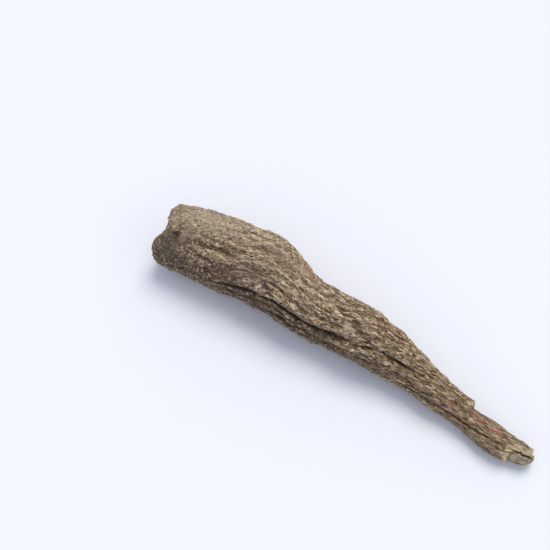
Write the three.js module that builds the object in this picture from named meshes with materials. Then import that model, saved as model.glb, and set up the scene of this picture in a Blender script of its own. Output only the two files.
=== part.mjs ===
import * as THREE from 'three';

// A dried burdock root, whole, lying on its side. It grew as one piece, so it is one solid:
// thick and blunt at the crown, where the leaves were cut off, and tapering to a broken tail.
// Its skin shrank in long folds, which wind slowly round it.
//
// Millimetres. +X runs from the crown to the tail and +Z is up. The origin is on the surface
// that the root lies on, under its middle.
// Angles go round the root in degrees: 0 is the +Y side, 90 the top, 180 the -Y side, 270 below.

// Distances are counted from the crown's furthest point, give or take a fraction of a millimetre
const tailTip = 120;

// Along the root: distance, sideways bow, half width, half height, and how far the underside
// would dip below the resting surface, where it is pressed flat. Below zero it stands clear.
const stations = [
  { x: 0, bow: -0.4, halfWidth: 8.9, halfHeight: 8.1, dip: -0.5 },
  { x: 5, bow: 0.7, halfWidth: 9.7, halfHeight: 8.6, dip: 0 },
  { x: 11, bow: 2.0, halfWidth: 10.2, halfHeight: 9.0, dip: 0.4 },
  { x: 18, bow: 3.1, halfWidth: 10.25, halfHeight: 9.4, dip: 0.5 },
  { x: 25, bow: 3.8, halfWidth: 9.9, halfHeight: 9.5, dip: 0.5 },
  { x: 31, bow: 4.4, halfWidth: 10.4, halfHeight: 9.3, dip: 0.3 },
  { x: 38, bow: 3.6, halfWidth: 9.7, halfHeight: 8.7, dip: 0 },
  { x: 45, bow: 2.2, halfWidth: 8.5, halfHeight: 8.1, dip: 0 },
  { x: 51, bow: 2.6, halfWidth: 7.7, halfHeight: 8.0, dip: 0.2 },
  { x: 58, bow: 3.1, halfWidth: 7.6, halfHeight: 8.1, dip: 0.4 },
  { x: 65, bow: 3.55, halfWidth: 7.45, halfHeight: 7.5, dip: 0.1 },
  { x: 73, bow: 3.35, halfWidth: 6.45, halfHeight: 6.6, dip: -0.3 },
  { x: 80, bow: 2.65, halfWidth: 5.45, halfHeight: 5.7, dip: -0.4 },
  { x: 87, bow: 1.4, halfWidth: 4.8, halfHeight: 4.9, dip: -0.3 },
  { x: 94, bow: 0.5, halfWidth: 3.9, halfHeight: 4.3, dip: 0 },
  { x: 100, bow: -0.2, halfWidth: 3.6, halfHeight: 3.9, dip: 0.2 },
  { x: 107, bow: -1.0, halfWidth: 3.9, halfHeight: 3.8, dip: 0.3 },
  { x: 113, bow: -1.2, halfWidth: 3.4, halfHeight: 3.5, dip: 0.1 },
  { x: 120, bow: -0.6, halfWidth: 2.0, halfHeight: 2.4, dip: -0.7 },
];

// The grain: the angle of the long fold at each distance. Everything in the skin follows it.
const grain = [
  { x: 0, angle: 178 },
  { x: 18, angle: 176 },
  { x: 30, angle: 160 },
  { x: 43, angle: 143 },
  { x: 53, angle: 148 },
  { x: 61, angle: 141 },
  { x: 67, angle: 130 },
  { x: 75, angle: 119 },
  { x: 82, angle: 108 },
  { x: 88, angle: 93 },
  { x: 94, angle: 82 },
  { x: 100, angle: 73 },
  { x: 106, angle: 62 },
  { x: 112, angle: 47 },
  { x: 120, angle: 36 },
];

// Furrows follow the grain, at an angle from it. Each opens and closes along its length.
const furrows = [
  { offset: 0, from: 8, to: 93, depth: 1.9, width: 0.8 },
  { offset: 11, from: 20, to: 46, depth: 1.0, width: 0.7 },
  { offset: 23, from: 25, to: 63, depth: 0.9, width: 0.6 },
  { offset: -64, from: -9, to: 27, depth: 0.8, width: 2.4 },
  { offset: -60, from: 13, to: 25, depth: 0.7, width: 0.6 },
  { offset: -104, from: 12, to: 25, depth: 0.6, width: 0.6 },
  { offset: 65, from: 74, to: 115, depth: 1.0, width: 0.6 },
  { offset: -128, from: 30, to: 78, depth: 1.2, width: 0.9 },
  { offset: 150, from: 6, to: 58, depth: 1.4, width: 1.0 },
  { offset: 100, from: 40, to: 98, depth: 1.1, width: 0.8 },
  { offset: -70, from: 84, to: 112, depth: 0.7, width: 0.6 },
  { offset: -160, from: 58, to: 112, depth: 0.9, width: 0.7 },
];

// Hollows and knobs in the skin, where side roots and leaf stalks were, and a few soft swells and
// dips: place, half length along the root, half width, height (below zero is a hollow) and the
// slant of the long side, in degrees
const marks = [
  { x: 6.4, angle: 114, long: 1.7, wide: 2.3, height: -1.3, slant: 0 },
  { x: 8.0, angle: 112, long: 1.1, wide: 1.3, height: 1.0, slant: 0 },
  { x: 19.5, angle: 124, long: 3.8, wide: 1.7, height: 1.0, slant: 0 },
  { x: 28.0, angle: 62, long: 5.5, wide: 3.0, height: 0.6, slant: 0 },
  { x: 3.0, angle: 42, long: 3.5, wide: 4.0, height: -0.35, slant: 0 },
  { x: 52.5, angle: 46, long: 3.2, wide: 3.0, height: 0.5, slant: 0 },
  { x: 57.2, angle: 92, long: 1.6, wide: 1.0, height: -0.6, slant: 20 },
  { x: 62.0, angle: 98, long: 4.6, wide: 1.1, height: -1.0, slant: 25 },
  { x: 60.6, angle: 114, long: 1.3, wide: 1.2, height: 0.8, slant: 0 },
  { x: 42.0, angle: 200, long: 4.0, wide: 2.2, height: -0.7, slant: 15 },
  { x: 36.0, angle: 330, long: 2.4, wide: 1.6, height: 0.8, slant: 0 },
  { x: 70.2, angle: 44, long: 2.0, wide: 3.0, height: 0.7, slant: 0 },
  { x: 75.2, angle: 42, long: 2.6, wide: 3.0, height: -0.5, slant: 0 },
  { x: 70.0, angle: 20, long: 2.2, wide: 1.4, height: -0.8, slant: -20 },
  { x: 89.0, angle: 36, long: 1.2, wide: 0.9, height: 0.5, slant: 0 },
  { x: 92.0, angle: 250, long: 2.0, wide: 1.0, height: 0.6, slant: 0 },
];

// The skin's folds: plump ridges between narrow creases, over long soft lumps. Their lengths run
// along the grain, and both shrink on a thin stretch of root, though to no less than half.
const fold = { long: 14, wide: 3.6, height: 0.65, plump: 0.62, tight: 6, atEnds: 0.5, seed: 11 };
const lump = { long: 15, wide: 8, height: 1.5, seed: 3 };
const foldsFrom = { start: 6, full: 30 };
const foldsTo = { start: 108, none: 118 };
const fullRadius = 8;
const leastShrink = 0.5;

// A furrow's two lips: their height against its depth, and how many widths away they stand
const lipHeight = 0.28;
const lipAway = 2.6;

// Crown: where its end face begins and how long its rim takes to round over, by angle. The far
// side has a tight corner, a notch is bitten out near the top and the near side is rounded off.
const crownEnds = [
  { angle: 20, start: 1.0, round: 1.2 },
  { angle: 42, start: 0.1, round: 0.9 },
  { angle: 60, start: 0.2, round: 0.8 },
  { angle: 78, start: 1.2, round: 0.9 },
  { angle: 94, start: 1.9, round: 1.2 },
  { angle: 114, start: 1.6, round: 2.0 },
  { angle: 145, start: 0.7, round: 2.0 },
  { angle: 175, start: 0.1, round: 3.4 },
  { angle: 205, start: 0, round: 4.8 },
  { angle: 265, start: 0, round: 4.0 },
  { angle: 325, start: 0.4, round: 2.6 },
];
const rimSquareness = 2.3;
const crownFace = { hollow: 2.2, floorShare: 0.2, rimShare: 0.72 };

// Plate of bark that ends in a square step on the far side of the tail, with a hollow past it.
// It fades towards its sides from the named share of its half span.
const plate = {
  x: 99.0, angle: 22, halfSpan: 48, fadesFrom: 0.7, height: 1.3, runIn: 11, runInPower: 1.5, step: 0.5,
};
const pastPlate = { depth: 0.45, from: 1, to: 7 };

// Tail: the skin has broken off round a bare core. By angle: where it ends, and how long the pale
// break takes to slope down to the core. A tongue of skin reaches almost to the tip on the far
// side, and the skin is bitten furthest back, with the longest slope, near the top.
const skinEnds = [
  { angle: 25, end: 117.9, slope: 0.6 },
  { angle: 48, end: 117.8, slope: 0.6 },
  { angle: 70, end: 115.8, slope: 0.9 },
  { angle: 95, end: 112.9, slope: 1.7 },
  { angle: 122, end: 111.8, slope: 2.2 },
  { angle: 155, end: 112.4, slope: 1.7 },
  { angle: 190, end: 113.2, slope: 0.9 },
  { angle: 250, end: 114.2, slope: 0.8 },
  { angle: 315, end: 117.6, slope: 0.6 },
];
const core = {
  radius: 2.0, drop: 0.8, dropAngle: 200, rough: 0.5, roughLong: 3, roughRound: 2, seed: 29,
};
const tailRound = 2.2;

// Mesh: columns follow the grain, rows are closer at the plate's step
const columns = 72;
const crownRows = 8;
const coreRows = 4;
const tailRows = 3;
const bodyRow = 1.75;
const closeRow = 0.7;
const closeRows = { from: 98.3, to: 99.7 };
const body = { from: 3.6, crownRowsTo: 24, breakRowsFrom: 101 };
const leastCore = 0.3;

const skinColour = 0x8a7358;

const radians = THREE.MathUtils.degToRad;
const { clamp, lerp, smoothstep } = THREE.MathUtils;

// A smooth line through one column of a table, whose key column rises
function along(table, column, place, key = 'x') {
  const last = table.length - 1;
  const after = table.findIndex((row) => row[key] > place);
  const i = after < 0 ? last - 1 : Math.max(0, after - 1);
  const slope = (n) => {
    const a = table[Math.max(0, n - 1)];
    const b = table[Math.min(last, n + 1)];
    return (b[column] - a[column]) / (b[key] - a[key]);
  };
  const span = table[i + 1][key] - table[i][key];
  const t = clamp((place - table[i][key]) / span, 0, 1);
  const t2 = t * t;
  const t3 = t2 * t;
  return (2 * t3 - 3 * t2 + 1) * table[i][column]
    + (t3 - 2 * t2 + t) * span * slope(i)
    + (3 * t2 - 2 * t3) * table[i + 1][column]
    + (t3 - t2) * span * slope(i + 1);
}

// The same for a table of angles, which is read all round
function around(table, column, angle) {
  const shifted = (by) => table.map((row) => ({ ...row, angle: row.angle + by }));
  const near = ((angle % 360) + 360) % 360;
  return along([...shifted(-360), ...table, ...shifted(360)], column, near, 'angle');
}

// A repeatable number for a corner of the noise lattice
function scramble(i, j, k, seed) {
  let h = Math.imul(i, 0x8da6b343) ^ Math.imul(j, 0xd8163841);
  h ^= Math.imul(k, 0xcb1ab31f) ^ Math.imul(seed, 0x9e3779b1);
  h = Math.imul(h ^ (h >>> 15), 0x2c1b3c6d);
  h = Math.imul(h ^ (h >>> 12), 0x297a2d39);
  return (h ^ (h >>> 15)) >>> 0;
}

// Gradient noise in three dimensions, from about -0.7 to 0.7. Each corner's slope on an axis
// comes from ten bits of its number, from -1 to 1.
function noise(x, y, z, seed) {
  const cell = [x, y, z].map(Math.floor);
  const inside = [x - cell[0], y - cell[1], z - cell[2]];
  const ease = inside.map((t) => t * t * t * (t * (t * 6 - 15) + 10));
  let sum = 0;
  for (let corner = 0; corner < 8; corner++) {
    const step = [corner & 1, (corner >> 1) & 1, corner >> 2];
    const h = scramble(cell[0] + step[0], cell[1] + step[1], cell[2] + step[2], seed);
    let weight = 1;
    let slope = 0;
    for (let axis = 0; axis < 3; axis++) {
      weight *= step[axis] ? ease[axis] : 1 - ease[axis];
      slope += (((h >>> (10 * axis)) & 1023) / 511.5 - 1) * (inside[axis] - step[axis]);
    }
    sum += weight * slope;
  }
  return sum;
}

// Shortest turn from one angle to another
const turn = (from, to) => ((((to - from) % 360) + 540) % 360) - 180;

// The skin's height above the plain section, at distance x and an angle, on a section of radius r
function relief(x, angle, r) {
  const grainAngle = along(grain, 'angle', x);
  const round = radians(angle - grainAngle);
  const across = [Math.cos(round) * r, Math.sin(round) * r];
  const lumps = noise(x / lump.long, across[0] / lump.wide, across[1] / lump.wide, lump.seed);
  const folds = noise(x / fold.long, across[0] / fold.wide, across[1] / fold.wide, fold.seed);
  const begun = smoothstep(x, foldsFrom.start, foldsFrom.full);
  const inBody = begun * (1 - smoothstep(x, foldsTo.start, foldsTo.none));
  const small = clamp(r / fullRadius, leastShrink, 1);
  const crease = Math.exp(-Math.abs(folds) * fold.tight);
  let height = lump.height * small * lumps;
  height += fold.height * small * lerp(fold.atEnds, 1, inBody) * (fold.plump - crease);

  for (const f of furrows) {
    const open = Math.sin(Math.PI * clamp((x - f.from) / (f.to - f.from), 0, 1));
    const away = Math.abs(radians(turn(grainAngle + f.offset, angle)) * r) / f.width;
    const lips = lipHeight * open * Math.exp(-((away - lipAway) ** 2));
    height += f.depth * small * (lips - Math.sqrt(open) * Math.exp(-away));
  }
  for (const m of marks) {
    const forward = x - m.x;
    const side = radians(turn(m.angle, angle)) * r;
    const slant = radians(m.slant);
    const u = (forward * Math.cos(slant) + side * Math.sin(slant)) / m.long;
    const v = (side * Math.cos(slant) - forward * Math.sin(slant)) / m.wide;
    height += m.height * Math.exp(-u * u - v * v);
  }
  return height + plateHeight(x, angle);
}

// The bark plate rises slowly towards the tail and stops at a step
function plateHeight(x, angle) {
  const away = Math.abs(turn(plate.angle, angle));
  const onPlate = 1 - smoothstep(away, plate.halfSpan * plate.fadesFrom, plate.halfSpan);
  const rise = smoothstep(x, plate.x - plate.runIn, plate.x) ** plate.runInPower;
  const past = smoothstep(x, plate.x, plate.x + plate.step);
  const hollow = 1 - smoothstep(x, plate.x + pastPlate.from, plate.x + pastPlate.to);
  return onPlate * (plate.height * rise * (1 - past) - pastPlate.depth * past * hollow);
}

// Distance from the root's axis to its surface
function radius(x, angle) {
  const a = radians(angle);
  const w = along(stations, 'halfWidth', x);
  const h = along(stations, 'halfHeight', x);
  const plain = (w * h) / Math.hypot(h * Math.cos(a), w * Math.sin(a));
  const skin = plain + relief(x, angle, (w + h) / 2);
  const end = around(skinEnds, 'end', angle);
  const broken = smoothstep(x, end, end + around(skinEnds, 'slope', angle));
  const dropped = core.drop * Math.cos(radians(turn(core.dropAngle, angle)));
  const round = core.roughRound;
  const rough = core.rough * noise(x / core.roughLong, Math.cos(a) * round, Math.sin(a) * round, core.seed);
  return lerp(skin, Math.min(skin, core.radius + dropped + rough), broken);
}

// A point at distance x, with share of the radius, dropped no lower than the resting surface
function surfacePoint(x, share, angle) {
  const a = radians(angle);
  const r = share * radius(x, angle);
  const height = along(stations, 'halfHeight', x) - along(stations, 'dip', x);
  const y = along(stations, 'bow', x) + r * Math.cos(a);
  return new THREE.Vector3(x, y, Math.max(0, height + r * Math.sin(a)));
}

// Rows from the crown's middle, over its rim, along the body and round the tail's tip.
// Each row has the distance whose grain its columns follow, and gives the distance and the share
// of the radius at an angle.
function makeRows() {
  const rows = [];
  const crownStart = (angle) => around(crownEnds, 'start', angle);
  const crownRound = (angle) => around(crownEnds, 'round', angle);
  const skinEnd = (angle) => around(skinEnds, 'end', angle);
  for (let n = 1; n <= crownRows; n++) {
    const t = (n / crownRows) * Math.PI / 2;
    const share = Math.sin(t) ** (2 / rimSquareness);
    const inward = 1 - Math.cos(t) ** (2 / rimSquareness);
    const sunk = crownFace.hollow * (1 - smoothstep(share, crownFace.floorShare, crownFace.rimShare));
    const rim = smoothstep(share, 0, crownFace.rimShare);
    const at = (angle) => [rim * crownStart(angle) + inward * crownRound(angle) + sunk, share];
    rows.push({ grainAt: 0, at });
  }
  const middleEnd = skinEnds.reduce((sum, row) => sum + row.end, 0) / skinEnds.length;
  let x = body.from;
  while (x < middleEnd) {
    const close = x >= closeRows.from && x < closeRows.to;
    x = Math.min(x + (close ? closeRow : bodyRow), middleEnd);
    const plain = x;
    const nearRim = 1 - smoothstep(x, body.from, body.crownRowsTo);
    const nearBreak = smoothstep(x, body.breakRowsFrom, middleEnd);
    const rimShift = (angle) => nearRim * (crownStart(angle) + crownRound(angle) - body.from);
    const breakShift = (angle) => nearBreak * (skinEnd(angle) - middleEnd);
    rows.push({ grainAt: x, at: (angle) => [plain + rimShift(angle) + breakShift(angle), 1] });
  }
  const coreStart = (angle) => skinEnd(angle) + around(skinEnds, 'slope', angle);
  const coreEnd = (angle) => Math.max(tailTip - tailRound, coreStart(angle) + leastCore);
  for (let n = 0; n <= coreRows; n++) {
    const at = (angle) => [lerp(coreStart(angle), coreEnd(angle), n / coreRows), 1];
    rows.push({ grainAt: middleEnd, at });
  }
  for (let n = 1; n <= tailRows; n++) {
    const t = (n / (tailRows + 1)) * Math.PI / 2;
    const at = (angle) => [lerp(coreEnd(angle), tailTip, Math.sin(t)), Math.cos(t)];
    rows.push({ grainAt: middleEnd, at });
  }
  return rows;
}

// One closed skin: a ring of points for each row, and a point at each end
function makeRoot() {
  const points = [];
  for (const row of makeRows()) {
    for (let c = 0; c < columns; c++) {
      const angle = (360 * c) / columns + along(grain, 'angle', row.grainAt);
      const [x, share] = row.at(angle);
      points.push(surfacePoint(x, share, angle));
    }
  }
  const rings = points.length / columns;
  const crown = points.push(surfacePoint(crownFace.hollow, 0, 0)) - 1;
  const tail = points.push(surfacePoint(tailTip, 0, 0)) - 1;
  const faces = [];
  for (let c = 0; c < columns; c++) {
    const next = (c + 1) % columns;
    faces.push(crown, next, c);
    for (let ring = 0; ring < rings - 1; ring++) {
      const a = ring * columns;
      const b = a + columns;
      faces.push(a + c, a + next, b + next, a + c, b + next, b + c);
    }
    const last = (rings - 1) * columns;
    faces.push(tail, last + c, last + next);
  }
  const geometry = new THREE.BufferGeometry().setFromPoints(points);
  geometry.setIndex(faces);
  geometry.computeVertexNormals();
  geometry.computeBoundingBox();
  const { min, max } = geometry.boundingBox;
  geometry.translate(-(min.x + max.x) / 2, -(min.y + max.y) / 2, 0);
  return geometry;
}

const root = new THREE.Group();
const skin = new THREE.MeshStandardMaterial({ color: skinColour, roughness: 0.92, metalness: 0 });
const burdockRoot = new THREE.Mesh(makeRoot(), skin);
burdockRoot.name = 'burdock_root';
root.add(burdockRoot);

export default root;
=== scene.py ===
import math
import bpy
import numpy as np
from mathutils import Matrix, Vector


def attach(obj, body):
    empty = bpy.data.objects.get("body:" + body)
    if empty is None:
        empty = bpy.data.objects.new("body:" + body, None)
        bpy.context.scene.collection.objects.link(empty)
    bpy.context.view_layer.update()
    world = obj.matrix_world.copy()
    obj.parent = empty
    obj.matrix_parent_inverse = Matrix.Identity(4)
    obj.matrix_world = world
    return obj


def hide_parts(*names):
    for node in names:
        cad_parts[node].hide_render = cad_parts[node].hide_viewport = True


# A dried burdock root lying on its side. The CAD solid has its main folds and furrows; here the same
# formulas are worked out on a finer grid, and the net of wrinkles in the bark is raised on top.
# Lengths are in millimetres until a mesh is made, and angles go round the root in degrees:
# 0 is the +Y side, 90 the top, 180 the -Y side, 270 below.

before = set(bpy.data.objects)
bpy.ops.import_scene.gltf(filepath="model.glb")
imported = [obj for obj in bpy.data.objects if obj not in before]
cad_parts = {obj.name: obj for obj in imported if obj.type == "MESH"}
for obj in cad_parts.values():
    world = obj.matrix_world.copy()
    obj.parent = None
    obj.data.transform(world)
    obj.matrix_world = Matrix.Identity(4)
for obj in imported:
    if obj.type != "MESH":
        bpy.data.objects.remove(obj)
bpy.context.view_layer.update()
metre = 0.001  # metres in a millimetre
photoSize = 550  # pixels on each side


# Small formulas

def smooth(x, low, high):  # 0 below low, 1 above high, 3t^2 - 2t^3 between
    t = np.clip((x - low) / (high - low), 0, 1)
    return t * t * (3 - 2 * t)


def mix(a, b, t):  # a + (b - a) t
    return a + (b - a) * t


def turn(start, end):  # shortest turn from one angle to another, -180 to 180
    return ((end - start) % 360 + 540) % 360 - 180


def along(table, column, place, key="x"):  # cubic through one column, with slopes from its neighbours
    keys = np.array(table[key], float)
    values = np.array(table[column], float)
    low = np.maximum(np.arange(len(keys)) - 1, 0)
    high = np.minimum(np.arange(len(keys)) + 1, len(keys) - 1)
    slopes = (values[high] - values[low]) / (keys[high] - keys[low])
    i = np.clip(np.searchsorted(keys, place, side="right") - 1, 0, len(keys) - 2)
    span = keys[i + 1] - keys[i]
    t = np.clip((place - keys[i]) / span, 0, 1)
    fromHere = (2 * t**3 - 3 * t**2 + 1) * values[i] + (t**3 - 2 * t**2 + t) * span * slopes[i]
    return fromHere + (3 * t**2 - 2 * t**3) * values[i + 1] + (t**3 - t**2) * span * slopes[i + 1]


def around(table, column, angle):  # the same, for a table of angles repeated a turn either way
    wide = {"angle": [a + shift for shift in (-360, 0, 360) for a in table["angle"]]}
    wide[column] = table[column] * 3
    return along(wide, column, angle % 360, "angle")


def scramble(i, j, k, seed):  # a whole number for a lattice corner, by odd products, shifts and xors
    def part(values, factor):
        return (np.asarray(values, np.int64) & 0xFFFFFFFF).astype(np.uint32) * np.uint32(factor)
    h = part(i, 0x8DA6B343) ^ part(j, 0xD8163841) ^ part(k, 0xCB1AB31F)
    h = h ^ np.uint32((seed * 0x9E3779B1) & 0xFFFFFFFF)
    h = (h ^ (h >> np.uint32(15))) * np.uint32(0x2C1B3C6D)
    h = (h ^ (h >> np.uint32(12))) * np.uint32(0x297A2D39)
    return h ^ (h >> np.uint32(15))


def unit(vectors):  # v / |v|
    return vectors / np.maximum(np.linalg.norm(vectors, axis=-1, keepdims=True), 1e-9)


def tenBits(h, axis):  # one of three numbers from 0 to 1 held in a scrambled number
    return ((h >> np.uint32(10 * axis)) & np.uint32(1023)) / 1023


def noise(x, y, z, seed):  # sum over 8 corners of eased weight times (slope . offset), about -0.7 to 0.7
    x, y, z = np.broadcast_arrays(x, y, z)
    cell = [np.floor(v).astype(np.int64) for v in (x, y, z)]
    inside = [v - c for v, c in zip((x, y, z), cell)]
    ease = [t**3 * (t * (t * 6 - 15) + 10) for t in inside]
    total = np.zeros(x.shape)
    for corner in range(8):
        step = [corner & 1, (corner >> 1) & 1, corner >> 2]
        h = scramble(cell[0] + step[0], cell[1] + step[1], cell[2] + step[2], seed)
        weight = np.ones(x.shape)
        slope = np.zeros(x.shape)
        for axis in range(3):
            weight = weight * (ease[axis] if step[axis] else 1 - ease[axis])
            slope = slope + (2 * tenBits(h, axis) - 1) * (inside[axis] - step[axis])
        total += weight * slope
    return total


midCell = 0.5  # cuts through a noise lie here, since it is 0 on whole numbers


def cells(x, y, z, seed):  # distance to the nearest and to the second nearest of one random point a cell
    x, y, z = np.broadcast_arrays(x, y, z)
    cell = [np.floor(v).astype(np.int64) for v in (x, y, z)]
    first = np.full(x.shape, np.inf)
    second = np.full(x.shape, np.inf)
    for n in range(27):  # the cell and its neighbours
        step = (n % 3 - 1, n // 3 % 3 - 1, n // 9 - 1)
        at = [c + s for c, s in zip(cell, step)]
        h = scramble(at[0], at[1], at[2], seed)
        away = sum((at[axis] + tenBits(h, axis) - v) ** 2 for axis, v in enumerate((x, y, z)))
        away = np.sqrt(away)
        second = np.minimum(second, np.maximum(first, away))
        first = np.minimum(first, away)
    return first, second


# The root's shape: the CAD solid's own values

root = {
    "tailTip": 120,
    "stations": {
        "x": [0, 5, 11, 18, 25, 31, 38, 45, 51, 58, 65, 73, 80, 87, 94, 100, 107, 113, 120],
        "bow": [-0.4, 0.7, 2.0, 3.1, 3.8, 4.4, 3.6, 2.2, 2.6, 3.1, 3.55, 3.35, 2.65, 1.4, 0.5, -0.2, -1.0,
                -1.2, -0.6],
        "halfWidth": [8.9, 9.7, 10.2, 10.25, 9.9, 10.4, 9.7, 8.5, 7.7, 7.6, 7.45, 6.45, 5.45, 4.8, 3.9, 3.6,
                      3.9, 3.4, 2.0],
        "halfHeight": [8.1, 8.6, 9.0, 9.4, 9.5, 9.3, 8.7, 8.1, 8.0, 8.1, 7.5, 6.6, 5.7, 4.9, 4.3, 3.9,
                       3.8, 3.5, 2.4],
        "dip": [-0.5, 0, 0.4, 0.5, 0.5, 0.3, 0, 0, 0.2, 0.4, 0.1, -0.3, -0.4, -0.3, 0, 0.2, 0.3, 0.1, -0.7],
    },
    "grain": {  # the angle of the long furrow at each distance, which the whole skin follows
        "x": [0, 18, 30, 43, 53, 61, 67, 75, 82, 88, 94, 100, 106, 112, 120],
        "angle": [178, 176, 160, 143, 148, 141, 130, 119, 108, 93, 82, 73, 62, 47, 36],
    },
    "furrows": [  # angle from the grain, from, to, depth, width
        (0, 8, 93, 1.9, 0.8),
        (11, 20, 46, 1.0, 0.7),
        (23, 25, 63, 0.9, 0.6),
        (-64, -9, 27, 0.8, 2.4),
        (-60, 13, 25, 0.7, 0.6),
        (-104, 12, 25, 0.6, 0.6),
        (65, 74, 115, 1.0, 0.6),
        (-128, 30, 78, 1.2, 0.9),
        (150, 6, 58, 1.4, 1.0),
        (100, 40, 98, 1.1, 0.8),
        (-70, 84, 112, 0.7, 0.6),
        (-160, 58, 112, 0.9, 0.7),
    ],
    "marks": [  # distance, angle, half length, half width, height, slant
        (6.4, 114, 1.7, 2.3, -1.3, 0),
        (8.0, 112, 1.1, 1.3, 1.0, 0),
        (19.5, 124, 3.8, 1.7, 1.0, 0),
        (28.0, 62, 5.5, 3.0, 0.6, 0),
        (3.0, 42, 3.5, 4.0, -0.35, 0),
        (52.5, 46, 3.2, 3.0, 0.5, 0),
        (57.2, 92, 1.6, 1.0, -0.6, 20),
        (62.0, 98, 4.6, 1.1, -1.0, 25),
        (60.6, 114, 1.3, 1.2, 0.8, 0),
        (42.0, 200, 4.0, 2.2, -0.7, 15),
        (36.0, 330, 2.4, 1.6, 0.8, 0),
        (70.2, 44, 2.0, 3.0, 0.7, 0),
        (75.2, 42, 2.6, 3.0, -0.5, 0),
        (70.0, 20, 2.2, 1.4, -0.8, -20),
        (89.0, 36, 1.2, 0.9, 0.5, 0),
        (92.0, 250, 2.0, 1.0, 0.6, 0),
    ],
    "fold": {"long": 14, "wide": 3.6, "height": 0.65, "plump": 0.62, "tight": 6, "atEnds": 0.5, "seed": 11},
    "lump": {"long": 15, "wide": 8, "height": 1.5, "seed": 3},
    "foldsFrom": (6, 30),
    "foldsTo": (108, 118),
    "fullRadius": 8,
    "leastShrink": 0.5,
    "lipHeight": 0.28,
    "lipAway": 2.6,
    "crownEnds": {
        "angle": [20, 42, 60, 78, 94, 114, 145, 175, 205, 265, 325],
        "start": [1.0, 0.1, 0.2, 1.2, 1.9, 1.6, 0.7, 0.1, 0, 0, 0.4],
        "round": [1.2, 0.9, 0.8, 0.9, 1.2, 2.0, 2.0, 3.4, 4.8, 4.0, 2.6],
    },
    "rimSquareness": 2.3,
    "crownFace": {"hollow": 2.2, "floorShare": 0.2, "rimShare": 0.72},
    "plate": {"x": 99.0, "angle": 22, "halfSpan": 48, "fadesFrom": 0.7, "height": 1.3, "runIn": 11,
              "runInPower": 1.5, "step": 0.5},
    "pastPlate": {"depth": 0.45, "start": 1, "end": 7},
    "skinEnds": {
        "angle": [25, 48, 70, 95, 122, 155, 190, 250, 315],
        "end": [117.9, 117.8, 115.8, 112.9, 111.8, 112.4, 113.2, 114.2, 117.6],
        "slope": [0.6, 0.6, 0.9, 1.7, 2.2, 1.7, 0.9, 0.8, 0.6],
    },
    "core": {"radius": 2.0, "drop": 0.8, "dropAngle": 200, "rough": 0.5, "roughLong": 3, "roughRound": 2,
             "seed": 29},
    "tailRound": 2.2,
    "body": {"start": 3.6, "crownRowsTo": 24, "breakRowsFrom": 101},
    "leastCore": 0.3,
}


broken = {  # finer than the solid: the tail's ragged edge, and the core's ledge, crack and fibres
    "ragged": [(2.2, 0.8, 61), (7, 0.5, 63)],  # how often round, by how much, and seed
    "ledge": {"angle": 100, "height": 0.6, "soft": 5, "to": 119.2},
    "crack": {"away": 8, "width": 0.3, "depth": 0.8, "from": 114.2, "full": 115.2},
    "stray": {"long": 0.8, "turn": 26, "seed": 65},  # how the ledge's edge and the crack wander
    "fibres": {"long": 2.2, "round": 4, "depth": 0.5, "mean": 0.12, "seed": 67},
    "plateRagged": (14, 0.8, 69),  # every so many degrees, by so much
    "coreRings": {"x": 117.5, "angle": 132, "radius": 2.6},
}


def grainAt(x):  # the angle that the grain has wound round to
    return along(root["grain"], "angle", x)


def plateHeight(x, angle):  # rises to the plate's height, drops at its step, then a shallow hollow
    plate, past = root["plate"], root["pastPlate"]
    away = np.abs(turn(plate["angle"], angle))
    onPlate = 1 - smooth(away, plate["halfSpan"] * plate["fadesFrom"], plate["halfSpan"])
    every, size, seed = broken["plateRagged"]
    stepAt = plate["x"] + size * noise(angle / every, midCell, midCell, seed)
    rise = smooth(x, plate["x"] - plate["runIn"], stepAt) ** plate["runInPower"]
    over = smooth(x, stepAt, stepAt + plate["step"])
    hollow = 1 - smooth(x, plate["x"] + past["start"], plate["x"] + past["end"])
    return onPlate * (plate["height"] * rise * (1 - over) - past["depth"] * over * hollow)


def furrowOpening(x, start, end):  # sin(pi t) from one end of a furrow to the other, 0 beyond
    return np.maximum(np.sin(math.pi * np.clip((x - start) / (end - start), 0, 1)), 0)


def relief(x, angle, r):  # lumps + folds (plump less a crease at each zero of a noise) + furrows + marks
    fold, lump = root["fold"], root["lump"]
    grainAngle = grainAt(x)
    bend = np.radians(angle - grainAngle)
    across = np.cos(bend) * r, np.sin(bend) * r
    lumps = noise(x / lump["long"], across[0] / lump["wide"], across[1] / lump["wide"], lump["seed"])
    folds = noise(x / fold["long"], across[0] / fold["wide"], across[1] / fold["wide"], fold["seed"])
    inBody = smooth(x, *root["foldsFrom"]) * (1 - smooth(x, *root["foldsTo"]))
    small = np.clip(r / root["fullRadius"], root["leastShrink"], 1)
    crease = np.exp(-np.abs(folds) * fold["tight"])
    height = lump["height"] * small * lumps
    height += fold["height"] * small * mix(fold["atEnds"], 1, inBody) * (fold["plump"] - crease)
    for offset, start, end, depth, width in root["furrows"]:
        opening = furrowOpening(x, start, end)
        away = np.abs(np.radians(turn(grainAngle + offset, angle)) * r) / width
        lips = root["lipHeight"] * opening * np.exp(-((away - root["lipAway"]) ** 2))
        height += depth * small * (lips - np.sqrt(opening) * np.exp(-away))
    for markX, markAngle, halfLong, halfWide, markHeight, slant in root["marks"]:
        height += markHeight * markShape(x, angle, r, markX, markAngle, halfLong, halfWide, slant)
    return height + plateHeight(x, angle)


def markShape(x, angle, r, markX, markAngle, halfLong, halfWide, slant=0):  # exp(-u^2 - v^2) on the skin
    forward = x - markX
    side = np.radians(turn(markAngle, angle)) * r
    lean = math.radians(slant)
    u = (forward * math.cos(lean) + side * math.sin(lean)) / halfLong
    v = (side * math.cos(lean) - forward * math.sin(lean)) / halfWide
    return np.exp(-u * u - v * v)


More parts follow.
